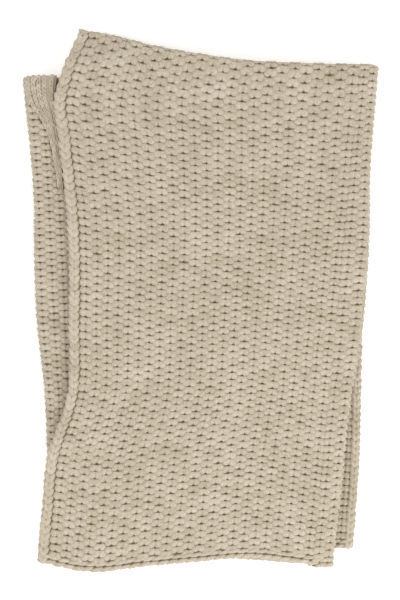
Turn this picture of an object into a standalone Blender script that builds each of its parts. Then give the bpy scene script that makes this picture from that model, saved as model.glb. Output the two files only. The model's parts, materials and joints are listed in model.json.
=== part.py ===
"""Folded throw blanket: a chunky knitted throw, folded in half and then in thirds, lying flat.

The throw is folded in half first, along the top, so that every leaf is double: an outer and an inner
layer of cloth. The doubled cloth is then folded in thirds like a zigzag: the front leaf turns into the
middle leaf at the right fold, and the middle leaf turns into the back leaf at the left fold. From the
bottom up the layers are back inner, back outer, middle outer, middle inner, front inner, front outer.

Metres, +Z up. The throw lies on z = 0 with +Y towards its half fold and +X towards its right fold, and
its origin is the centre of its box, at the bottom. Both side folds are hinges along the fold's own line.
"""

import math

import bmesh
import bpy
import numpy as np
from mathutils import Vector

# Driving dimensions
CLOTH = 0.008  # thickness of one knitted layer
GAP = 0.0004  # clearance between neighbouring pieces of cloth
SELVEDGE = 0.011  # width of the rolled selvedge
HEM = 0.012  # height of the knitted hem
LEAF_WIDTH = 0.423  # a third of the throw's width
LEAF_LENGTH = 0.762  # half of the throw's length
FOLD_RUN = 0.016  # flat cloth between a side fold's axis and the end of a leaf's panel
DROOP = 0.022  # how far the front leaf's top sinks where nothing lies under it
DROOP_START = 0.016  # how far past the leaves below it starts to sink
DROOP_LENGTH = 0.050  # the length over which it sinks
RIGHT_LEAN = 0.095  # the right fold's run to +X for each metre of +Y
LEFT_LEAN = -0.0504  # the left fold's run to +X for each metre of +Y

# The zigzag's heights: layers from the bottom up, and the two fold axes between them
PITCH = CLOTH + GAP
LAYERS = ("back_inner", "back_outer", "middle_outer", "middle_inner", "front_inner", "front_outer")
LEFT_AXIS_Z = 2 * PITCH - GAP / 2
RIGHT_AXIS_Z = 4 * PITCH - GAP / 2

# Radii of a side fold's cloth about its axis, and of the roll that closes the half fold
INNER_OUT = CLOTH + GAP / 2
OUTER_IN = CLOTH + 1.5 * GAP
OUTER_OUT = 2 * CLOTH + 1.5 * GAP
ROLL = CLOTH + GAP / 2
ROLL_CENTRE = PITCH

ROUND_STEPS = 10  # facets of a half-round bend
ROWS = 22  # facets along a leaf's length
TOP_ROWS = 9  # how many of them lie in the stretch near the half fold, where the front leaf sinks
TOP_STRETCH = 0.17  # that stretch, as a share of the length
COLUMNS = 12  # facets across a leaf's width

CREAM = (0.604, 0.507, 0.376, 1.0)


def smooth_line(points):
    """A smooth curve through (place, value) points, as a function of place (Catmull-Rom slopes)."""
    place, value = np.array(sorted(points)).T
    slope = np.gradient(value, place)

    def at(x):
        x = np.clip(x, place[0], place[-1])
        i = int(np.clip(np.searchsorted(place, x) - 1, 0, len(place) - 2))
        step = place[i + 1] - place[i]
        t = (x - place[i]) / step
        start = (1 + 2 * t) * (1 - t) ** 2 * value[i] + t * (1 - t) ** 2 * step * slope[i]
        end = t * t * (3 - 2 * t) * value[i + 1] + t * t * (t - 1) * step * slope[i + 1]
        return float(start + end)

    return at


# Outline curves. Lengthwise places are shares of LEAF_LENGTH and crosswise ones of LEAF_WIDTH, from the
# middle of the folded throw, so that the outline keeps its character when the throw's size changes.
def lengthwise(points):
    return smooth_line([(y * LEAF_LENGTH, x * LEAF_WIDTH) for y, x in points])


def crosswise(points):
    return smooth_line([(x * LEAF_WIDTH, y * LEAF_LENGTH) for x, y in points])


def right_axis_x(y):
    return 0.508 * LEAF_WIDTH + RIGHT_LEAN * y


def left_axis_x(y):
    return -0.518 * LEAF_WIDTH + LEFT_LEAN * y


# How far each side fold's round cloth bulges past its straight axis, outwards
right_bulge = lengthwise([(0.43, -0.014), (0.24, -0.008), (0.13, 0.009), (0.02, 0.017), (-0.08, 0.016),
                          (-0.18, 0.0), (-0.36, -0.004), (-0.49, -0.009)])
left_bulge = lengthwise([(0.41, 0.009), (0.34, 0.001), (0.20, -0.008), (0.06, 0.002), (-0.06, 0.001),
                         (-0.17, -0.012), (-0.30, -0.010), (-0.47, -0.004)])

front_free_side = lengthwise([(0.510, -0.409), (0.423, -0.468), (0.383, -0.488), (0.300, -0.474),
                              (0.118, -0.444), (-0.040, -0.444), (-0.189, -0.453), (-0.300, -0.517),
                              (-0.394, -0.534), (-0.495, -0.551)])
front_top = crosswise([(-0.409, 0.511), (-0.310, 0.502), (-0.158, 0.479), (0.002, 0.462), (0.175, 0.449),
                       (0.368, 0.4445), (0.480, 0.443), (0.600, 0.441)])
front_bottom = crosswise([(-0.551, -0.493), (-0.382, -0.512), (-0.168, -0.502), (-0.002, -0.494),
                          (0.175, -0.487), (0.304, -0.494), (0.433, -0.505)])
middle_top = crosswise([(-0.590, 0.421), (-0.30, 0.424), (0.10, 0.435), (0.480, 0.442), (0.600, 0.443)])
middle_bottom = crosswise([(-0.590, -0.474), (-0.20, -0.484), (0.20, -0.494), (0.440, -0.505)])
back_top = crosswise([(-0.590, 0.421), (0.0, 0.416), (0.553, 0.412)])
back_bottom = crosswise([(-0.590, -0.474), (0.0, -0.478), (0.560, -0.474)])
back_free_side = lengthwise([(0.42, 0.548), (0.10, 0.556), (-0.16, 0.555), (-0.30, 0.549), (-0.48, 0.527)])


def right_panel_end(y):
    return right_axis_x(y) - FOLD_RUN - GAP / 2


def left_panel_end(y):
    return left_axis_x(y) + FOLD_RUN + GAP / 2


def shifted(curve, distance):
    return lambda place: curve(place) + distance


# Each leaf's outline: (left side, right side, bottom, top)
LEAVES = {
    "front": (front_free_side, right_panel_end, front_bottom, front_top),
    "middle": (left_panel_end, right_panel_end, middle_bottom, middle_top),
    "back": (left_panel_end, back_free_side, back_bottom, back_top),
}
# An inner layer's hem stops a little short of the outer layer's
HEM_INSET = {"outer": 0.0, "inner": 0.004}


def layer_bottom(layer):
    return LAYERS.index(layer) * PITCH


def droop(leaf, x, y):
    """How far the front leaf has sunk at a place past the end of the leaves below it."""
    if leaf != "front":
        return 0.0
    past = (y - middle_top(x) - DROOP_START) / DROOP_LENGTH
    share = min(max(past, 0.0), 1.0)
    return DROOP * share * share * (3 - 2 * share)


def place_on(line, bottom, top, v):
    """The point on a lengthwise line, a share v of the way from one crosswise edge to the other."""
    x = y = 0.0
    for _ in range(12):
        x = line(y)
        y = bottom(x) + v * (top(x) - bottom(x))
    return x, y


def lines_between(left, right, columns):
    """Evenly spaced lengthwise lines from one side curve to the other, both included."""

    def line(share):
        return lambda y: left(y) + share * (right(y) - left(y))

    return [line(number / columns) for number in range(columns + 1)]


def length_share(number):
    """Where a row of facets starts, as a share of the leaf's length: closer together near the top."""
    low_rows = ROWS - TOP_ROWS
    if number <= low_rows:
        return (1 - TOP_STRETCH) * number / low_rows
    return 1 - TOP_STRETCH * (ROWS - number) / TOP_ROWS


def panel(leaf, layer, lines, bottom, top, rows):
    """A sheet of cloth one layer thick: its lengthwise lines run between two crosswise edges."""
    bm = bmesh.new()
    columns = len(lines) - 1
    bmesh.ops.create_grid(bm, x_segments=columns, y_segments=rows, size=0.5)
    base = layer_bottom(layer)
    for vert in bm.verts:
        line = lines[round((vert.co.x + 0.5) * columns)]
        row = round((vert.co.y + 0.5) * rows)
        x, y = place_on(line, bottom, top, length_share(row) if rows == ROWS else row / rows)
        vert.co = (x, y, base - droop(leaf, x, y))
    grown = bmesh.ops.extrude_face_region(bm, geom=bm.faces[:])
    raised = [item for item in grown["geom"] if isinstance(item, bmesh.types.BMVert)]
    bmesh.ops.translate(bm, verts=raised, vec=(0, 0, CLOTH))
    bmesh.ops.recalc_face_normals(bm, faces=bm.faces)
    return bm


def loft(rings):
    """A closed solid through a row of rings of points, made by extruding the first ring's face."""
    bm = bmesh.new()
    face = bm.faces.new([bm.verts.new(point) for point in rings[0]])
    for number, ring in enumerate(rings[1:]):
        grown = bmesh.ops.extrude_face_region(bm, geom=[face])
        if number:
            bmesh.ops.delete(bm, geom=[face], context="FACES_ONLY")
        face = [item for item in grown["geom"] if isinstance(item, bmesh.types.BMFace)][0]
        for vert, point in zip(face.verts, ring):
            vert.co = point
    bmesh.ops.recalc_face_normals(bm, faces=bm.faces)
    return bm


def bend_section(inside, outside):
    """The C-shaped section of a side fold: (distance past the axis or None on a run, height) points."""
    turn = [math.pi * step / ROUND_STEPS for step in range(ROUND_STEPS + 1)]
    outer = [("bend", outside * math.sin(a), -outside * math.cos(a)) for a in turn]
    inner = [("bend", inside * math.sin(a), inside * math.cos(a)) for a in turn]
    upper_ends = [("end", 0, outside), ("end", 0, inside)]
    return [("end", 0, -outside)] + outer + upper_ends + inner + [("end", 0, -inside)]


def side_fold(axis_x, axis_z, bulge, outward, inside, outside, ends):
    """The cloth of one layer round a side fold, between its bottom and top ends."""
    rings = []
    low, high = ends
    for step in range(ROWS + 1):
        y = low + (high - low) * step / ROWS
        ring = []
        for kind, past, height in bend_section(inside, outside):
            offset = -FOLD_RUN if kind == "end" else bulge(y) + past
            ring.append((axis_x(y) + outward * offset, y, axis_z + height))
        rings.append(ring)
    return loft(rings)


def roll_profile():
    """The half-round roll that joins two layers along the half fold: (across the layers, along y)."""
    turn = [math.pi * step / ROUND_STEPS for step in range(ROUND_STEPS + 1)]
    return [(-ROLL * math.cos(a), GAP + ROLL * math.sin(a)) for a in turn]


def top_fold(leaf, lines, bottom, top):
    """The half fold's roll along the top of one leaf."""
    middle_z = max(layer_bottom(f"{leaf}_outer"), layer_bottom(f"{leaf}_inner")) - GAP / 2
    rings = []
    for line in lines:
        x, y = place_on(line, bottom, top, 1.0)
        z = middle_z - droop(leaf, x, y)
        rings.append([(x, y + along, z + across) for across, along in roll_profile()])
    return loft(rings)


def corner_turn(axis_x, axis_z, bulge, outward, y):
    """The half fold's roll where it turns round a side fold, from one leaf's end to the next one's."""
    path = [(-FOLD_RUN, -ROLL_CENTRE, 0.0, -1.0)]
    for step in range(ROUND_STEPS + 1):
        angle = math.pi * step / ROUND_STEPS
        out, up = math.sin(angle), -math.cos(angle)
        path.append((bulge(y) + ROLL_CENTRE * out, ROLL_CENTRE * up, out, up))
    path.append((-FOLD_RUN, ROLL_CENTRE, 0.0, 1.0))
    rings = []
    for offset, height, out, up in path:
        ring = []
        for across, along in roll_profile():
            x = axis_x(y + along) + outward * (offset + across * out)
            ring.append((x, y + along, axis_z + height + across * up))
        rings.append(ring)
    return loft(rings)


def trimmed(leaf, layer_kind):
    """A leaf's outline for one layer, up to the roll of the half fold."""
    left, right, bottom, top = LEAVES[leaf]
    return left, right, shifted(bottom, HEM_INSET[layer_kind]), shifted(top, -ROLL - GAP)


def layer_lines(leaf, left, right):
    """The lengthwise lines of a layer's panel, of its free selvedge if it has one, and of both."""
    if leaf == "front":
        edge = lines_between(left, shifted(left, SELVEDGE), 2)
        field = lines_between(shifted(left, SELVEDGE + GAP), right, COLUMNS)
        return field, edge, edge[:1] + field
    if leaf == "back":
        edge = lines_between(shifted(right, -SELVEDGE), right, 2)
        field = lines_between(left, shifted(right, -SELVEDGE - GAP), COLUMNS)
        return field, edge, field + edge[-1:]
    field = lines_between(left, right, COLUMNS)
    return field, None, field


def build_layer(leaf, kind):
    """The panel, hem and free selvedge of one layer of one leaf."""
    layer = f"{leaf}_{kind}"
    left, right, bottom, top = trimmed(leaf, kind)
    field, edge, across = layer_lines(leaf, left, right)
    hem_top = shifted(bottom, HEM)
    field_bottom = shifted(hem_top, GAP)
    pieces = {}
    if edge:
        pieces[f"{layer}_selvedge"] = panel(leaf, layer, edge, field_bottom, top, ROWS)
    pieces[f"{layer}_hem"] = panel(leaf, layer, across, bottom, hem_top, 1)
    pieces[f"{layer}_panel"] = panel(leaf, layer, field, field_bottom, top, ROWS)
    return pieces


def build_bodies():
    """Every piece as a bmesh, grouped by the body that it moves with."""
    bodies = {"back_leaf": {}, "middle_leaf": {}, "front_leaf": {}}
    for leaf in ("back", "middle", "front"):
        for kind in ("inner", "outer"):
            bodies[f"{leaf}_leaf"].update(build_layer(leaf, kind))
        left, right, bottom, top = trimmed(leaf, "outer")
        across = layer_lines(leaf, left, right)[2]
        bodies[f"{leaf}_leaf"][f"{leaf}_top_fold"] = top_fold(leaf, across, bottom, top)
    folds = {
        "left": (left_axis_x, LEFT_AXIS_Z, left_bulge, -1, middle_bottom, middle_top, "back_leaf"),
        "right": (right_axis_x, RIGHT_AXIS_Z, right_bulge, 1, middle_bottom, middle_top, "middle_leaf"),
    }
    for side, (axis_x, axis_z, bulge, outward, bottom, top, body) in folds.items():
        end = axis_x(0.0)
        low, high = bottom(end), top(end) - ROLL - GAP
        for layer, inside, outside in (("inner", GAP / 2, INNER_OUT), ("outer", OUTER_IN, OUTER_OUT)):
            bend = side_fold(axis_x, axis_z, bulge, outward, inside, outside, (low, high))
            bodies[body][f"{side}_fold_{layer}"] = bend
        bodies[body][f"{side}_corner_turn"] = corner_turn(axis_x, axis_z, bulge, outward, high)
    return bodies


def make_material():
    """Cream wool-blend yarn, knitted: matt and soft."""
    material = bpy.data.materials.new("cream_knit")
    material.use_nodes = True
    shader = material.node_tree.nodes["Principled BSDF"]
    shader.inputs["Base Color"].default_value = CREAM
    shader.inputs["Roughness"].default_value = 0.95
    shader.inputs["Metallic"].default_value = 0.0
    return material


def main():
    for item in list(bpy.data.objects):
        bpy.data.objects.remove(item, do_unlink=True)
    material = make_material()
    bodies = build_bodies()
    corners = [vert.co for pieces in bodies.values() for bm in pieces.values() for vert in bm.verts]
    xs, ys = [c.x for c in corners], [c.y for c in corners]
    centre = Vector(((min(xs) + max(xs)) / 2, (min(ys) + max(ys)) / 2, 0.0))

    axis_points = {
        "back_leaf": Vector((0.0, 0.0, 0.0)),
        "middle_leaf": Vector((left_axis_x(0.0), 0.0, LEFT_AXIS_Z)) - centre,
        "front_leaf": Vector((right_axis_x(0.0), 0.0, RIGHT_AXIS_Z)) - centre,
    }
    parent_of = {"back_leaf": None, "middle_leaf": "back_leaf", "front_leaf": "middle_leaf"}
    pivots = {}
    for body, point in axis_points.items():
        pivot = bpy.data.objects.new(f"{body}_pivot", None)
        bpy.context.collection.objects.link(pivot)
        above = parent_of[body]
        pivot.parent = pivots.get(above)
        pivot.location = point - (axis_points[above] if above else Vector((0.0, 0.0, 0.0)))
        pivots[body] = pivot
    for body, pieces in bodies.items():
        for name, bm in pieces.items():
            bmesh.ops.translate(bm, verts=bm.verts, vec=-centre - axis_points[body])
            mesh = bpy.data.meshes.new(name)
            bm.to_mesh(mesh)
            bm.free()
            mesh.materials.append(material)
            item = bpy.data.objects.new(name, mesh)
            bpy.context.collection.objects.link(item)
            item.parent = pivots[body]


main()
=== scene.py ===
import json
import math
from functools import partial

import bmesh
import bpy
import numpy as np
from mathutils import Matrix, Vector


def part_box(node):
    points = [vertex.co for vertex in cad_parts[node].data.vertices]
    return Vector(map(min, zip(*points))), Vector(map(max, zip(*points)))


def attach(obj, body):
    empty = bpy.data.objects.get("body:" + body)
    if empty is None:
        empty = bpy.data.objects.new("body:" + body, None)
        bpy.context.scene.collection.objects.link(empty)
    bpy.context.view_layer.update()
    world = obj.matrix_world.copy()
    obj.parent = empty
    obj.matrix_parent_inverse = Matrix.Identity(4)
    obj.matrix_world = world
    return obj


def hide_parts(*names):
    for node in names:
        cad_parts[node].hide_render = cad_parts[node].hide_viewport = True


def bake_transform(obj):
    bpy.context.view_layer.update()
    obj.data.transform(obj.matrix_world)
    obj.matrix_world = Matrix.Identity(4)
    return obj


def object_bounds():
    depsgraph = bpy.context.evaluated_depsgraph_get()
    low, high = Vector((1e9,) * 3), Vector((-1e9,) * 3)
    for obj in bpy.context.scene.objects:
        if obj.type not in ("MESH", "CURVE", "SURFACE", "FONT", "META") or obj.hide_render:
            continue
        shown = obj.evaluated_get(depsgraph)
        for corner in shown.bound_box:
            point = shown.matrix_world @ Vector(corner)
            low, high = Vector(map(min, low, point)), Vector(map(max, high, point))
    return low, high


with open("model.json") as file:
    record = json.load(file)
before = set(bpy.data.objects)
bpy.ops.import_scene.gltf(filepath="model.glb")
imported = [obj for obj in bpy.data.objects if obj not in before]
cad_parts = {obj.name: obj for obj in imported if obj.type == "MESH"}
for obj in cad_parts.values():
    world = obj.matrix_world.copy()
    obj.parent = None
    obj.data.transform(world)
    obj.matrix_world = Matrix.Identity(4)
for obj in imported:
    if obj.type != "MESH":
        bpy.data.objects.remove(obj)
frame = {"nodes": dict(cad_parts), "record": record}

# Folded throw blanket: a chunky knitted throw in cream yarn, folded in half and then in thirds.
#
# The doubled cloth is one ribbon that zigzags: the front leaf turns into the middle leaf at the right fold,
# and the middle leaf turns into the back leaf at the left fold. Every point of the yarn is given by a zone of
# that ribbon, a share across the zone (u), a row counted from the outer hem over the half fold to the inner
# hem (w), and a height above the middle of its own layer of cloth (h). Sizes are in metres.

CAD_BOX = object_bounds()


# ---------------------------------------------------------------- sizes read from the frame

JOINTS = {joint["name"]: joint for joint in frame["record"]["behaviour"]["joints"]}
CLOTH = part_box("back_inner_panel")[1][2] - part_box("back_inner_panel")[0][2]
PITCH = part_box("back_outer_panel")[0][2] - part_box("back_inner_panel")[0][2]
GAP = PITCH - CLOTH
ROLL = CLOTH + GAP / 2  # radius of the roll that closes the half fold

LEAF_WIDTH = 0.423
LEAF_LENGTH = 0.762
FOLD_RUN = 0.016  # flat cloth between a side fold's axis and the end of a leaf's panel
SELVEDGE = 0.0114  # width of the rolled selvedge
FRONT_INSET = 0.0052  # how much further in the knitted field starts, beside the front's selvedge
BACK_INSET = 0.0016  # the same beside the back's
CHAIN_OUT = {"front": 0.0093, "back": 0.0066}  # how far outside the field the selvedge's chain runs
HEM = 0.0124  # height of the knitted hem
HEM_OVERLAP = 0.0010  # how far the field's first row comes down over the hem
DROOP = 0.022  # how far the front leaf's top sinks past the leaves under it
DROOP_START = 0.016
DROOP_LENGTH = 0.050

# The outline curves were drawn about the right fold's axis, whose own place in the frame gives their origin
SHIFT_X = JOINTS["right_fold"]["pos_m"][0] - 0.508 * LEAF_WIDTH
SHIFT_Y = JOINTS["right_fold"]["pos_m"][1]

LOFT = 0.0030  # how far the soft knit puffs out past a side fold
TOP_LOFT = 1.4 * LOFT  # and past the half fold
UNEVEN = 0.0011  # how far the top layer's slow unevenness lifts or sinks it
CROWDED = (0.036, 0.09)  # how much shorter the front's top rows make it, and over how much of its length

# Gauge of the knitting
ROWS = 68  # rows from a hem to the half fold
ROLL_ROWS = 2  # rows that go round the half fold
ALL_ROWS = 2 * ROWS + ROLL_ROWS
WALE = 0.0155
ROW = 0.0111
FIRST_ROW = 0.20  # how far the first row's feet come out over the hem, in rows

# A stitch is two plump strands side by side. Its foot, towards the hem, is broad, blunt and raised; its head
# is narrower and sinks under the foot of the next stitch in its wale.
LOBE_HALF = (0.0065, 0.0070, 0.0030)
LOBE_APART = 0.0039
LOBE_SPLAY = 0.10  # how far the strands part towards the head, per metre along
LOBE_TAPER = (0.10, 0.34)  # how much the pair narrows at its foot and at its head
LOBE_RISE = 0.0036  # how much higher the foot lies than the head
FOOT_ARCH = 24.0  # the foot's edge droops by this times the square of the distance from its middle
SUNK = 0.0005  # how far the stitches lie below the middle of their layer
NOTCH = (0.0019, 0.0024, 0.0026)  # half width, half length and depth of the hollow between the two feet

# Strands of the selvedge's chain, of the pulled corner's ribs and of the hem: half width, half length and
# half height; how far each of a pair lies from the middle; and its slant
SELVEDGE_CHAIN = ((0.0043, 0.0094, 0.0038), 0.0027, math.radians(22))
RIB_CHAIN = ((0.0022, 0.0070, 0.0026), 0.0017, math.radians(13))
HEM_STRAND = ((0.0036, 0.0102, 0.0038), 0.0, math.radians(79))
HEM_TWIST = 0.0125  # from one strand of a hem's rope to the next
HEM_ROPES = (0.10, 0.80)  # how far past the last row each rope of the hem lies, in rows
# A loose fibre: length, radius, how high it arches, and how far its ends stand above the layer's middle
FIBRE = (0.0085, 0.00009, 0.0022, 0.0026)
FIBRE_SPACING = 0.0095
PLAIN = (0.02, 0.0, 0.0020)  # keeps chains and ropes clear of the shades painted on a stitch
UNLIKE = (0.035, 0.00025, 0.00018)  # how unlike two stitches are: in share of size, in place and in height
GROUND = (-0.0036, -0.0003)  # heights of the ground cloth's two faces in its layer


def smooth_line(points):
    """A smooth curve through (place, value) points, as a function of an array of places."""
    place, value = np.array(sorted(points)).T
    slope = np.gradient(value, place)

    def at(x):
        x = np.clip(x, place[0], place[-1])
        i = np.clip(np.searchsorted(place, x) - 1, 0, len(place) - 2)
        step = place[i + 1] - place[i]
        t = (x - place[i]) / step
        start = (1 + 2 * t) * (1 - t) ** 2 * value[i] + t * (1 - t) ** 2 * step * slope[i]
        end = t * t * (3 - 2 * t) * value[i + 1] + t * t * (t - 1) * step * slope[i + 1]
        return start + end

    return at


# Outlines are given as (y, x) or (x, y) shares of a leaf's length and width, about the folded throw's middle
def lengthwise(points):
    return smooth_line([(y * LEAF_LENGTH + SHIFT_Y, x * LEAF_WIDTH + SHIFT_X) for y, x in points])


def crosswise(points):
    return smooth_line([(x * LEAF_WIDTH + SHIFT_X, y * LEAF_LENGTH + SHIFT_Y) for x, y in points])


def bulging(points):
    return smooth_line([(y * LEAF_LENGTH + SHIFT_Y, x * LEAF_WIDTH) for y, x in points])


def axis_line(joint):
    """The x of a fold's axis at a place along it."""
    spot, way = joint["pos_m"], joint["axis"]
    return lambda y: spot[0] + (y - spot[1]) * way[0] / way[1]


right_axis_x = axis_line(JOINTS["right_fold"])
left_axis_x = axis_line(JOINTS["left_fold"])
RIGHT_AXIS_Z = JOINTS["right_fold"]["pos_m"][2]
LEFT_AXIS_Z = JOINTS["left_fold"]["pos_m"][2]

right_bulge = bulging([(0.43, -0.014), (0.24, -0.008), (0.13, 0.009), (0.02, 0.017), (-0.08, 0.016),
                       (-0.18, 0.0), (-0.36, -0.004), (-0.49, -0.009)])
left_bulge = bulging([(0.41, 0.009), (0.34, 0.001), (0.20, -0.008), (0.06, 0.002), (-0.06, 0.001),
                      (-0.17, -0.012), (-0.30, -0.010), (-0.47, -0.004)])
front_free_side = lengthwise([(0.510, -0.409), (0.423, -0.468), (0.383, -0.488), (0.300, -0.474),
                              (0.118, -0.444), (-0.040, -0.444), (-0.189, -0.453), (-0.300, -0.517),
                              (-0.394, -0.534), (-0.495, -0.551)])
back_free_side = lengthwise([(0.42, 0.548), (0.10, 0.556), (-0.16, 0.555), (-0.30, 0.549), (-0.48, 0.527)])
front_top = crosswise([(-0.432, 0.517), (-0.409, 0.512), (-0.310, 0.502), (-0.158, 0.479), (0.002, 0.462),
                       (0.175, 0.449), (0.368, 0.4445), (0.480, 0.443), (0.600, 0.441)])
front_bottom = crosswise([(-0.551, -0.493), (-0.382, -0.512), (-0.168, -0.502), (-0.002, -0.494),
                          (0.175, -0.487), (0.304, -0.494), (0.433, -0.505)])
middle_top = crosswise([(-0.590, 0.421), (-0.30, 0.424), (0.10, 0.435), (0.480, 0.442), (0.600, 0.443)])
middle_bottom = crosswise([(-0.590, -0.474), (-0.20, -0.484), (0.20, -0.494), (0.440, -0.505)])
back_top = crosswise([(-0.590, 0.421), (0.0, 0.416), (0.553, 0.412)])
back_bottom = crosswise([(-0.590, -0.474), (0.0, -0.478), (0.560, -0.474)])


def moved(curve, distance):
    return lambda place: curve(place) + distance


# ---------------------------------------------------------------- the ribbon of doubled cloth

# A leaf: its side curves, hem line, top line, the height of its middle, and which way its outer face looks
LEAVES = {
    "front": (moved(front_free_side, SELVEDGE + FRONT_INSET), moved(right_axis_x, -FOLD_RUN),
              front_bottom, front_top, 5 * PITCH - GAP / 2, 1.0),
    "middle": (moved(left_axis_x, FOLD_RUN), moved(right_axis_x, -FOLD_RUN),
               middle_bottom, middle_top, 3 * PITCH - GAP / 2, -1.0),
    "back": (moved(left_axis_x, FOLD_RUN), moved(back_free_side, -SELVEDGE - BACK_INSET),
             back_bottom, back_top, PITCH - GAP / 2, 1.0),
}
# A side fold: its axis, height, bulge, which way it points, and which way its outer layer looks at its start
FOLDS = {
    "right_fold": (right_axis_x, RIGHT_AXIS_Z, right_bulge, 1.0, 1.0),
    "left_fold": (left_axis_x, LEFT_AXIS_Z, left_bulge, -1.0, -1.0),
}


def ease(t):
    t = np.clip(t, 0.0, 1.0)
    return t * t * (3 - 2 * t)


def softness(x, y, z):
    """Slow unevenness of the cloth: the layers lie a little higher here and lower there."""
    wave = (np.sin(x * 21.0 + 1.3 * np.sin(y * 9.0)) * np.cos(y * 17.0 + 0.8)
            + 0.7 * np.sin(y * 31.0 + x * 13.0 + 2.1) + 0.5 * np.sin(x * 47.0 - y * 23.0))
    return UNEVEN * wave * z / CAD_BOX[1][2]


def leaf_middle(zone, u, y):
    """Where the middle of a leaf's doubled cloth runs at (u, y), and which way its outer face looks."""
    left, right, bottom, top, z, face = LEAVES[zone]
    x = left(y) + u * (right(y) - left(y))
    height = np.full_like(x, z)
    if zone == "front":
        height = height - DROOP * ease((y - middle_top(x) - DROOP_START) / DROOP_LENGTH)
    return x, height, np.zeros_like(x), np.full_like(x, face)


def fold_middle(zone, u, y, radius):
    """The same for a side fold, whose length across is measured at a radius from its axis."""
    axis_x, axis_z, bulge, outward, face = FOLDS[zone]
    run = FOLD_RUN + bulge(y)
    arc = math.pi * radius
    along = u * (2 * run + arc)
    angle = np.clip((along - run) / radius, 0.0, math.pi)
    straight = np.minimum(along, run) - np.clip(along - run - arc, 0.0, None)
    x = axis_x(y) + outward * (straight - FOLD_RUN + (PITCH + LOFT) * np.sin(angle))
    z = axis_z + PITCH * np.cos(angle)
    return x, z, face * outward * np.sin(angle), face * np.cos(angle)


def edges_of(zone):
    if zone in LEAVES:
        return LEAVES[zone][2], LEAVES[zone][3]
    end = FOLDS[zone][0](0.0)
    low, high = float(middle_bottom(end)), float(middle_top(end))
    return (lambda x: low + 0 * x), (lambda x: high + 0 * x)


def throw_point(zone, u, w, h):
    """Places of points of the yarn: u across the zone, w in rows from the outer hem to the inner hem, h above
    the middle of the layer, on its outer face."""
    u, w, h = (np.asarray(item, float) for item in (u, w, h))
    turn = np.clip((w - ROWS) / ROLL_ROWS, 0.0, 1.0) * math.pi
    level = np.where(w > ROWS, np.minimum(ALL_ROWS - w, ROWS), w) / ROWS
    if zone == "front":
        # Near the half fold the rows lie closer together
        crowd = CROWDED[0] * (1 - np.exp(-(1 - level) / CROWDED[1]))
        level = level * (1 - CROWDED[0]) + CROWDED[0] - crowd
    bottom, top = edges_of(zone)
    x, y = np.zeros_like(u), np.zeros_like(u)
    outside = FOLDS[zone][4] if zone in FOLDS else 0.0
    # Across a fold, wales are counted a little past the layer's middle, on its face
    radius = PITCH * (1.0 + 0.75 * outside * np.cos(turn))
    for _ in range(10):
        if zone in LEAVES:
            x, z, nx, nz = leaf_middle(zone, u, y)
        else:
            x, z, nx, nz = fold_middle(zone, u, y, radius)
        field_low = bottom(x) + HEM - HEM_OVERLAP
        y = field_low + level * (top(x) - ROLL - GAP + TOP_LOFT - field_low)
    offset = (PITCH / 2 + h) * np.cos(turn)
    y = y + (PITCH / 2 + h) * np.sin(turn)
    x = x + nx * offset
    z = z + nz * offset
    return np.stack([x, y, z + softness(x, y, z)], axis=1)


# The pulled corner: above the left fold the half fold drags the knit into narrow ribs, which run down to a
# smooth ridge. Its two sides as (share of the way down, millimetres in from the left fold's axis, millimetres
# down from the top).
CORNER_RIDGE = ((0.0, -16.6, 1.0), (0.15, -16.2, 24.0), (0.30, -10.8, 42.5), (0.45, 1.2, 61.0),
                (0.60, 11.7, 81.0), (0.80, 19.9, 118.5), (1.0, 26.0, 171.6))
CORNER_SIDE = ((0.0, 30.8, -0.5), (0.15, 28.0, 18.0), (0.30, 26.5, 33.8), (0.45, 26.8, 52.4),
               (0.60, 28.0, 78.3), (0.80, 29.0, 118.5), (1.0, 29.4, 174.4))
CORNER_LENGTH = 0.175
CORNER_WIDTH = 0.047
CORNER_HEIGHT = 4 * PITCH + 0.0003  # just over the middle leaf's upper face
CORNER_CREST = 0.0016  # how much prouder its ridge is
CORNER_TOP = float(middle_top(float(left_axis_x(0.0)))) + 0.0035


def corner_point(lane, s, t, h):
    """Places on the pulled corner: s from its ridge to its other side, t down it, h above it. Points about a
    rib keep their distances from its lane as the corner narrows."""
    ridge, side = (np.stack([smooth_line([(way, out) for way, out, _ in line])(t),
                             smooth_line([(way, down) for way, _, down in line])(t)]) / 1000
                   for line in (CORNER_RIDGE, CORNER_SIDE))
    width = side[0] - ridge[0]
    if lane is None:
        out = ridge[0] + s * width
    else:
        out = ridge[0] + lane * width + (s - lane) * np.maximum(width, 0.6 * CORNER_WIDTH)
    down = ridge[1] + s * (side[1] - ridge[1])
    y = CORNER_TOP - down
    reach = CORNER_HEIGHT - LEFT_AXIS_Z
    over = np.sqrt(np.maximum(reach ** 2 - np.minimum(out, 0.0) ** 2, 1e-6))
    z = LEFT_AXIS_Z + over + h + CORNER_CREST * np.exp(-(s / 0.16) ** 2)
    return np.stack([left_axis_x(y) + out, y, z], axis=1)


def under_corner(points):
    """Whether points lie under the pulled corner."""
    x, y, z = points.T
    down = (CORNER_TOP - y) * 1000
    out = (x - left_axis_x(y)) * 1000
    ridge = np.interp(down, [item[2] for item in CORNER_RIDGE], [item[1] for item in CORNER_RIDGE])
    side = np.interp(down, [item[2] for item in CORNER_SIDE], [item[1] for item in CORNER_SIDE])
    return (z > LEFT_AXIS_Z) & (down < 170.0) & (out > ridge + 7.0) & (out < side + 2.0)


# ---------------------------------------------------------------- materials


def linear(hex_colour):
    """An sRGB hex colour as linear red, green, blue and alpha."""
    parts = [int(hex_colour[i:i + 2], 16) / 255 for i in (1, 3, 5)]
    return [c / 12.92 if c <= 0.04045 else ((c + 0.055) / 1.055) ** 2.4 for c in parts] + [1.0]


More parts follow.
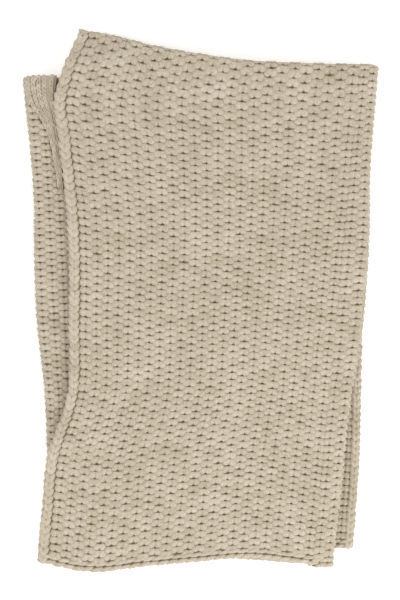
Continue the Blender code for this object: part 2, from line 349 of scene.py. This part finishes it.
def node(tree, kind, settings=None, links=None):
    """Adds a node with its settings, and its inputs linked from other nodes' outputs or set to values."""
    made = tree.nodes.new(kind)
    for name, value in (settings or {}).items():
        setattr(made, name, value)
    for name, value in (links or {}).items():
        if isinstance(value, bpy.types.NodeSocket):
            tree.links.new(value, made.inputs[name])
        else:
            made.inputs[name].default_value = value
    return made


def yarn_material(name, pale, deep, gap_shade_colour):
    """Wool-blend yarn, loosely spun and brushed: matt and softly mottled by its fibres, with painted shade
    where stitches meet and a browner painted shade down between them."""
    material = bpy.data.materials.new(name)
    material.use_nodes = True
    tree = material.node_tree
    shader = tree.nodes["Principled BSDF"]
    loop = node(tree, "ShaderNodeAttribute", {"attribute_name": "loop"})
    tone = node(tree, "ShaderNodeAttribute", {"attribute_name": "tone"})
    # Fibres about 1.4 mm apart across the strand and 2.8 mm along it, different on every stitch
    own = node(tree, "ShaderNodeVectorMath", {"operation": "MULTIPLY_ADD"},
               {0: tone.outputs["Vector"], 1: (3.1, 5.3, 7.7), 2: loop.outputs["Vector"]})
    fibre_map = node(tree, "ShaderNodeMapping", {}, {"Vector": own.outputs["Vector"],
                                                     "Scale": (560.0, 380.0, 560.0)})
    fibres = node(tree, "ShaderNodeTexNoise", {}, {"Vector": fibre_map.outputs["Vector"], "Scale": 1.0,
                                                   "Detail": 3.0, "Roughness": 0.6})
    place = node(tree, "ShaderNodeTexCoord")
    # The yarn's shade drifts over some 60 mm, as wool from one skein does
    drift = node(tree, "ShaderNodeTexNoise", {}, {"Vector": place.outputs["Object"], "Scale": 16.0,
                                                  "Detail": 2.0})
    slow = node(tree, "ShaderNodeMath", {"operation": "MULTIPLY"}, {0: drift.outputs["Fac"], 1: 0.28})
    shade = node(tree, "ShaderNodeMath", {"operation": "MULTIPLY_ADD"},
                 {0: fibres.outputs["Fac"], 1: 1.2, 2: slow.outputs["Value"]})
    shade = node(tree, "ShaderNodeMath", {"operation": "MULTIPLY_ADD"},
                 {0: tone.outputs["Fac"], 1: 0.15, 2: shade.outputs["Value"]})
    amount = node(tree, "ShaderNodeMapRange", {}, {"Value": shade.outputs["Value"], "From Min": 0.50,
                                                   "From Max": 1.20})
    yarn = node(tree, "ShaderNodeMix", {"data_type": "RGBA"}, {0: amount.outputs["Result"], 6: linear(deep),
                                                               7: linear(pale)})
    part = node(tree, "ShaderNodeSeparateXYZ", {}, {"Vector": loop.outputs["Vector"]})
    across = node(tree, "ShaderNodeMath", {"operation": "ABSOLUTE"}, {0: part.outputs["X"]})

    def band(value, start, end, low=0.0, high=1.0):
        return node(tree, "ShaderNodeMapRange", {"interpolation_type": "SMOOTHSTEP"},
                    {"Value": value, "From Min": start, "From Max": end, "To Min": low, "To Max": high}
                    ).outputs["Result"]

    def product(first, second):
        return node(tree, "ShaderNodeMath", {"operation": "MULTIPLY"}, {0: first, 1: second}).outputs["Value"]

    def rest_of(value):
        return node(tree, "ShaderNodeMath", {"operation": "SUBTRACT"}, {0: 1.0, 1: value}).outputs["Value"]

    # A head is in shade where it comes out from under the next foot, most of all in the middle of its wale
    under = product(band(part.outputs["Y"], 0.0088, 0.0112),
                    band(across.outputs["Value"], 0.0004, 0.0066, 1.0, 0.12))
    # Painted shade: a fine dark line where the two strands of a foot touch, which fades upwards
    seam_shade = product(band(across.outputs["Value"], 0.0002, 0.0012, 0.25, 0.0),
                   band(part.outputs["Y"], 0.002, 0.007, 1.0, 0.0))
    # Painted shade in the hollow between the two feet
    hollow_shade = product(band(across.outputs["Value"], 0.0004, 0.0020, 0.9, 0.0),
                     band(part.outputs["Y"], 0.0002, 0.0020, 1.0, 0.0))
    # Painted shade: down between the stitches the yarn is painted browner, because light reaches it only
    # through other yarn
    lit = product(product(band(part.outputs["Z"], -0.0026, 0.0002), rest_of(under)),
                  product(rest_of(seam_shade), rest_of(hollow_shade)))
    colour = node(tree, "ShaderNodeMix", {"data_type": "RGBA"}, {0: lit, 6: linear(gap_shade_colour), 7: yarn.outputs[2]})
    tree.links.new(colour.outputs[2], shader.inputs["Base Color"])
    bump = node(tree, "ShaderNodeBump", {}, {"Height": fibres.outputs["Fac"], "Strength": 0.5,
                                             "Distance": 0.0006})
    tree.links.new(bump.outputs["Normal"], shader.inputs["Normal"])
    shader.inputs["Roughness"].default_value = 0.95
    shader.inputs["Specular IOR Level"].default_value = 0.15
    shader.inputs["Sheen Weight"].default_value = 0.12
    shader.inputs["Sheen Roughness"].default_value = 0.6
    return material


# The third colour is the painted shade down between the stitches
STITCH_YARN = yarn_material("cream_wool_blend_yarn", "#E0D6C5", "#AD9F86", "#573D20")
# Painted shade: the ground sheet under the stitches is coloured dark brown for the shade down between them
SHADED_GROUND_YARN = yarn_material("wool_ground_painted_shade", "#93805F", "#806D4D", "#4C3B24")


# ---------------------------------------------------------------- making pieces


def add_attribute(mesh, name, kind, values):
    attribute = mesh.attributes.new(name, kind, "POINT")
    field = "vector" if kind == "FLOAT_VECTOR" else "value"
    attribute.data.foreach_set(field, np.asarray(values, np.float32).ravel())


def coordinates(mesh):
    flat = np.empty(len(mesh.vertices) * 3)
    mesh.vertices.foreach_get("co", flat)
    return flat.reshape(-1, 3)


def set_coordinates(mesh, points):
    mesh.vertices.foreach_set("co", points.ravel())
    mesh.update()


def plump_ball(bm, half, segments):
    """A soft ball of yarn with a full, blunt outline, its long side along Y."""
    verts = bmesh.ops.create_uvsphere(bm, u_segments=segments, v_segments=4, radius=1.0)["verts"]
    for vert in verts:
        x, y, z = vert.co
        flat = math.hypot(x, y) / max((abs(x) ** 2.4 + abs(y) ** 2.4) ** (1 / 2.4), 1e-9)
        if 0.1 < abs(z) < 0.9:
            flat, z = flat * 1.08, z * 1.08
        vert.co = (x * flat * half[0], y * flat * half[1], z * half[2])
    return verts


def finished(bm, name):
    mesh = bpy.data.meshes.new(name)
    bm.to_mesh(mesh)
    bm.free()
    return mesh


def stitch_mesh(segments):
    """One stitch: two plump strands side by side, with a blunt raised foot and a narrower sunken head."""
    bm = bmesh.new()
    for side in (-1.0, 1.0):
        for vert in plump_ball(bm, LOBE_HALF, segments):
            x, y, z = vert.co
            reach = y / LOBE_HALF[1]
            x = (x + side * (LOBE_APART + LOBE_SPLAY * y)) * (1 - LOBE_TAPER[reach > 0] * reach * reach)
            y += LOBE_HALF[1] - FOOT_ARCH * x * x
            notch = NOTCH[2] * math.exp(-(x / NOTCH[0]) ** 2 - (y / NOTCH[1]) ** 2)
            vert.co = (x, y, z - SUNK - LOBE_RISE * reach / 2 - notch)
    return finished(bm, "stitch")


def chain_mesh(half, apart, slant, segments=8):
    """One link of a chain: two slanted strands that meet in a V, or a single slanted strand."""
    bm = bmesh.new()
    for side in (-1.0, 1.0) if apart else (1.0,):
        verts = plump_ball(bm, half, segments)
        bmesh.ops.rotate(bm, verts=verts, matrix=Matrix.Rotation(-side * slant, 3, "Z"))
        bmesh.ops.translate(bm, verts=verts, vec=(side * apart, 0, 0))
    return finished(bm, "link")


def array_of(mesh, count):
    """Copies of a mesh, one after another, as one new mesh."""
    item = bpy.data.objects.new("copies", mesh)
    bpy.context.collection.objects.link(item)
    copies = item.modifiers.new("copies", "ARRAY")
    copies.count = count
    made = bpy.data.meshes.new_from_object(item.evaluated_get(bpy.context.evaluated_depsgraph_get()))
    bpy.data.objects.remove(item)
    return made


def add_piece(name, mesh, material):
    mesh.name = name
    mesh.materials.clear()
    mesh.materials.append(material)
    mesh.shade_smooth()
    item = bpy.data.objects.new(name, mesh)
    bpy.context.collection.objects.link(item)
    return item


def copies_on(name, place, scale, mesh, spots, seed, lift=(0.0, 0.0, 0.0), spin=math.radians(2.5),
              grain=1.0):
    """Copies of a strand or stitch laid on a surface at its spots, no two quite alike. The surface gives a
    place for two coordinates, which run by scale per metre, and a height. Lift shifts the coordinates that
    the yarn's shades are painted by, and grain below 1 spreads the pattern of its fibres."""
    rng = np.random.default_rng(seed)
    count, each = len(spots), len(mesh.vertices)
    number = np.arange(count * each) // each
    local = np.tile(coordinates(mesh), (count, 1))

    def varied(amount):
        return rng.normal(0.0, amount, count)[number]

    spin = varied(spin)
    size = 1.0 + varied(UNLIKE[0])
    x = size * (local[:, 0] * np.cos(spin) - local[:, 1] * np.sin(spin)) + varied(UNLIKE[1])
    y = size * (local[:, 0] * np.sin(spin) + local[:, 1] * np.cos(spin)) + varied(UNLIKE[1])
    h = size * local[:, 2] + varied(UNLIKE[2])
    made = array_of(mesh, count)
    set_coordinates(made, place(spots[number, 0] + x * scale[0], spots[number, 1] + y * scale[1], h))
    add_attribute(made, "loop", "FLOAT_VECTOR", local * (grain, grain, 1.0) + lift)
    add_attribute(made, "tone", "FLOAT", rng.uniform(0.0, 1.0, count)[number])
    return add_piece(name, made, STITCH_YARN)


def gauge(wales):
    return 1 / (wales * WALE), 1 / ROW


def within_fold(zone, inner):
    """Whether a layer goes round the inside of a side fold."""
    return zone in FOLDS and bool(inner) == (FOLDS[zone][4] > 0)


def knitted_field(name, zone, wales, first_wale, inner, stitch, seed):
    """The stitches of one layer of a zone: every second wale is half a row further on."""
    wale, row = np.meshgrid(np.arange(wales), np.arange(HALF) + inner * HALF)
    row = row - FIRST_ROW + 0.5 * ((wale + first_wale) % 2)
    spots = np.stack([(wale + 0.5) / wales, row], axis=2).reshape(-1, 2)
    if inner and zone in ("middle", "left_fold"):
        spots = spots[~under_corner(throw_point(zone, spots[:, 0], spots[:, 1], 0.0))]
    if within_fold(zone, inner):
        # The wale in the crease itself is pinched flat and hidden: the two beside it meet over it
        spots = spots[np.abs(spots[:, 0] - 0.5) > 0.5 / wales]
    return copies_on(name, partial(throw_point, zone), gauge(wales), stitch, spots, seed)


def fibre_mesh():
    """One loose wool fibre: a fine three-sided hair that rises in a low arch."""
    bm = bmesh.new()
    bmesh.ops.create_cone(bm, segments=3, radius1=FIBRE[1], radius2=FIBRE[1], depth=FIBRE[0], cap_ends=True)
    long_edges = [edge for edge in bm.edges if abs(edge.verts[0].co.z - edge.verts[1].co.z) > FIBRE[0] / 2]
    bmesh.ops.subdivide_edges(bm, edges=long_edges, cuts=3)
    for vert in bm.verts:
        along = vert.co.z / FIBRE[0]
        vert.co = (vert.co.x + 0.0012 * math.sin(5 * along), vert.co.z,
                   vert.co.y + FIBRE[3] + FIBRE[2] * (1 - 4 * along ** 2))
    bmesh.ops.triangulate(bm, faces=bm.faces)
    bmesh.ops.recalc_face_normals(bm, faces=bm.faces)
    return finished(bm, "fibre")


def fuzz(name, zone, wales, reach, inner, count, seed):
    """Loose fibres that stand off one layer of a zone."""
    rng = np.random.default_rng(seed)
    u = rng.uniform(*reach, count)
    w = rng.uniform(-1.0, HALF, count) + inner * (HALF + 1)
    return copies_on(name, partial(throw_point, zone), gauge(wales), fibre_mesh(), np.stack([u, w], axis=1),
                     seed, PLAIN, math.pi)


def selvedge(name, zone, wales, side, inner, seed):
    """The rolled selvedge along one side of a leaf: a chain of long strands."""
    w = inner * (HALF + 1) - 0.5 + np.arange(HALF + 1)
    u = np.full(len(w), 0.5 + side * (0.5 + CHAIN_OUT[zone] / (wales * WALE)))
    return copies_on(name, partial(throw_point, zone), gauge(wales), chain_mesh(*SELVEDGE_CHAIN),
                     np.stack([u, w], axis=1), seed, PLAIN)


def hem(name, zone, wales, reach, inner, seed):
    """The knitted hem of one layer: ropes of slanted strands along the cloth's end."""
    count = int(wales * WALE / HEM_TWIST)
    u = reach[0] + (np.arange(count) + 0.5) / count * (reach[1] - reach[0])
    rows = [ALL_ROWS + past if inner else -past for past in HEM_ROPES]
    spots = [np.stack([u + 0.5 * i / count, np.full(count, row)], axis=1) for i, row in enumerate(rows)]
    return copies_on(name, partial(throw_point, zone), gauge(wales), chain_mesh(*HEM_STRAND),
                     np.concatenate(spots), seed, PLAIN)


def ground_cloth(name, place, grid, u_range, w_range, height_range, material=SHADED_GROUND_YARN):
    """The cloth that the stitches stand on: one closed sheet over a range of a surface's coordinates, by
    default in painted shade.
    """
    bm = bmesh.new()
    bmesh.ops.create_grid(bm, x_segments=grid[0], y_segments=grid[1], size=0.5)
    grown = bmesh.ops.extrude_face_region(bm, geom=bm.faces[:])
    raised = [item for item in grown["geom"] if isinstance(item, bmesh.types.BMVert)]
    bmesh.ops.translate(bm, verts=raised, vec=(0, 0, 1))
    mesh = finished(bm, name)
    flat = coordinates(mesh)
    u = u_range[0] + (flat[:, 0] + 0.5) * (u_range[1] - u_range[0])
    w = w_range[0] + (flat[:, 1] + 0.5) * (w_range[1] - w_range[0])
    set_coordinates(mesh, place(u, w, height_range[0] + flat[:, 2] * (height_range[1] - height_range[0])))
    add_attribute(mesh, "loop", "FLOAT_VECTOR", np.tile((0.01, 0.0, 0.001), (len(flat), 1)))
    add_attribute(mesh, "tone", "FLOAT", np.full(len(flat), 0.5))
    bm = bmesh.new()
    bm.from_mesh(mesh)
    bmesh.ops.recalc_face_normals(bm, faces=bm.faces)
    bm.to_mesh(mesh)
    bm.free()
    return add_piece(name, mesh, material)


# ---------------------------------------------------------------- the throw

FINE_STITCH = stitch_mesh(10)
PLAIN_STITCH = stitch_mesh(8)
HALF = ROWS + ROLL_ROWS // 2  # rows of one layer
# Wales across each leaf, and across the outer and the inner layer of each side fold
WALES = {"front": 24, "middle": 26, "back": 28, "right_fold": (5, 3), "left_fold": (3, 5)}
REACH = {"front": (-0.030, 1.0), "back": (0.0, 1.012)}  # how far a leaf reaches across with its selvedge

pieces = {zone: [] for zone in WALES}
for i, (zone, wales) in enumerate(WALES.items()):
    reach = REACH.get(zone, (0.0, 1.0))
    for inner, layer in enumerate(("outer", "inner")):
        count = wales[inner] if zone in FOLDS else wales
        stitch = FINE_STITCH if (zone, layer) == ("front", "outer") else PLAIN_STITCH
        name = f"{zone}_{layer}"
        seed = 10 * i + 2 * inner
        pieces[zone].append(knitted_field(f"{name}_stitches", zone, count, zone == "left_fold", inner, stitch,
                                          seed))
        pieces[zone].append(hem(f"{name}_hem_ropes", zone, count, reach, inner, seed + 1))
        if not within_fold(zone, inner):
            fibres = int(count * WALE * HALF * ROW / FIBRE_SPACING ** 2)
            pieces[zone].append(fuzz(f"{name}_fuzz", zone, count, reach, inner, fibres, seed + 5))
for zone, side in (("front", -1.0), ("back", 1.0)):
    for inner, layer in enumerate(("outer", "inner")):
        chain = selvedge(f"{zone}_{layer}_selvedge_chain", zone, WALES[zone], side, inner, 60 + inner)
        pieces[zone].append(chain)

# Ribs of the pulled corner: place across it, and where each starts and ends down it
RIBS = ((0.07, 0.03, 0.97), (0.25, 0.03, 0.80), (0.42, 0.02, 0.90), (0.59, 0.03, 0.60), (0.83, 0.02, 0.97))
RIB_STEP = 0.0084  # from one link of a rib to the next
RIB_LIFT = (PLAIN[0], 0.0, 0.0024)
RIB_GRAIN = 0.15
for i, (lane, start, end) in enumerate(RIBS):
    t = np.arange(start, end, RIB_STEP / CORNER_LENGTH)
    rib = copies_on(f"pulled_corner_rib_{i + 1}", partial(corner_point, lane),
                    (1 / CORNER_WIDTH, 1 / CORNER_LENGTH), chain_mesh(*RIB_CHAIN),
                    np.stack([np.full(len(t), lane), t], axis=1), 80 + i, RIB_LIFT, grain=RIB_GRAIN)
    pieces["middle"].append(rib)
corner_cloth = ground_cloth("pulled_corner_cloth", partial(corner_point, None), (8, 30), (0.02, 0.98),
                            (0.01, 0.98), (-0.0030, -0.0004), STITCH_YARN)
pieces["middle"].append(corner_cloth)

# A leaf's ground is one sheet over the half fold. A side fold's has one to each layer.
cloths = {}
for zone in WALES:
    whole, halves = {"": (-1.0, ALL_ROWS + 1.0)}, {"_outer": (-1.0, HALF), "_inner": (HALF, ALL_ROWS + 1.0)}
    for layer, w_range in (whole if zone in LEAVES else halves).items():
        # Ground sheets are dark brown painted shade, except the layer round the inside of a side fold
        yarn = STITCH_YARN if within_fold(zone, layer == "_inner") else SHADED_GROUND_YARN
        cloths[zone + layer] = ground_cloth(f"{zone}{layer}_cloth", partial(throw_point, zone),
                                            (22, int(w_range[1] - w_range[0])), REACH.get(zone, (0.0, 1.0)),
                                            w_range, GROUND, yarn)


def across_fold(piece):
    """Bakes the piece's place into its mesh and leaves it on no leaf."""
    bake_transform(piece)


for zone in WALES:
    for piece in pieces[zone] + [cloth for name, cloth in cloths.items() if name.startswith(zone)]:
        if "pulled_corner" in piece.name:
            across_fold(piece)
        elif zone in LEAVES:
            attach(piece, f"{zone}_leaf")
        else:
            # Side-fold pieces are baked where they lie and put on no leaf
            across_fold(piece)

for leaf in LEAVES:
    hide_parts(*[name for name in frame["nodes"] if name.startswith(leaf + "_")])
for fold in ("right", "left"):
    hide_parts(fold + "_fold_outer", fold + "_corner_turn")
    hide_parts(fold + "_fold_inner")


# ---------------------------------------------------------------- stage, lights and camera

CAMERA_HEIGHT = 3.0
VIEW_TALL = 0.861  # how much the camera sees from top to bottom, at the height of the throw's top face


def stage_material():
    """Plain white studio card."""
    material = bpy.data.materials.new("white_card")
    material.use_nodes = True
    shader = material.node_tree.nodes["Principled BSDF"]
    shader.inputs["Base Color"].default_value = (0.93, 0.93, 0.93, 1.0)
    shader.inputs["Roughness"].default_value = 0.9
    shader.inputs["Specular IOR Level"].default_value = 0.1
    shader.inputs["Emission Color"].default_value = (1.0, 1.0, 1.0, 1.0)
    shader.inputs["Emission Strength"].default_value = 0.35
    return material


def make_stage():
    bm = bmesh.new()
    bmesh.ops.create_grid(bm, x_segments=1, y_segments=1, size=15.0)
    bmesh.ops.translate(bm, verts=bm.verts, vec=(0, 0, -0.0008))
    floor = add_piece("floor", finished(bm, "floor"), stage_material())


def make_lights():
    world = bpy.data.worlds.new("studio")
    bpy.context.scene.world = world
    world.use_nodes = True
    world.node_tree.nodes["Background"].inputs["Color"].default_value = (1.0, 1.0, 1.0, 1.0)
    world.node_tree.nodes["Background"].inputs["Strength"].default_value = 0.80
    for name, place, size, power in (("soft_key", (0.9, -1.4, 1.8), 1.3, 21.0),
                                     ("soft_fill", (-0.9, 0.1, 2.0), 1.8, 6.0)):
        light = bpy.data.lights.new(name, "AREA")
        light.shape = "SQUARE"
        light.size = size
        light.energy = power
        lamp = bpy.data.objects.new(name, light)
        lamp.location = place
        lamp.rotation_euler = (-Vector(place)).to_track_quat("-Z", "Y").to_euler()
        bpy.context.collection.objects.link(lamp)


def make_camera():
    """Straight down with a long lens."""
    camera = bpy.data.cameras.new("camera")
    camera.sensor_fit = "VERTICAL"
    camera.angle = 2 * math.atan(VIEW_TALL / 2 / (CAMERA_HEIGHT - 0.05))
    item = bpy.data.objects.new("camera", camera)
    item.location = (0.0, 0.0, CAMERA_HEIGHT)
    bpy.context.collection.objects.link(item)
    bpy.context.scene.camera = item


make_stage()
make_lights()
make_camera()
bpy.context.scene.view_settings.view_transform = "Standard"
